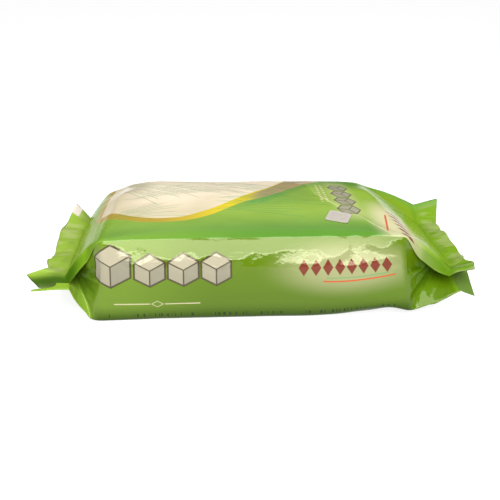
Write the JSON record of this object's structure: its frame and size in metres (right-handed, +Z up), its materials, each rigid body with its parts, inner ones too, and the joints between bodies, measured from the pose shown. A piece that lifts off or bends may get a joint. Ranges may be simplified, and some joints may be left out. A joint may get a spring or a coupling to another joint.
{
  "type": "sugar packet",
  "caption": "Full side-gusseted film bag of sugar lying on its back, with sealed end fins, tucked side gussets and a small rounded label on its front panel.",
  "frame": {"origin": "on the floor under the middle of the bag's overall box", "axes": "+X along the bag from fin to fin, +Y away from the side that faces the viewer, +Z up through the front panel"},
  "size_m": [0.2672, 0.1282, 0.0555],
  "materials": {
    "film": "glossy printed film, green with a cream field",
    "label": "silver-grey sticker, satin"
  },
  "bodies": {
    "root": {"bag": "film", "label": "label"}
  },
  "joints": []
}
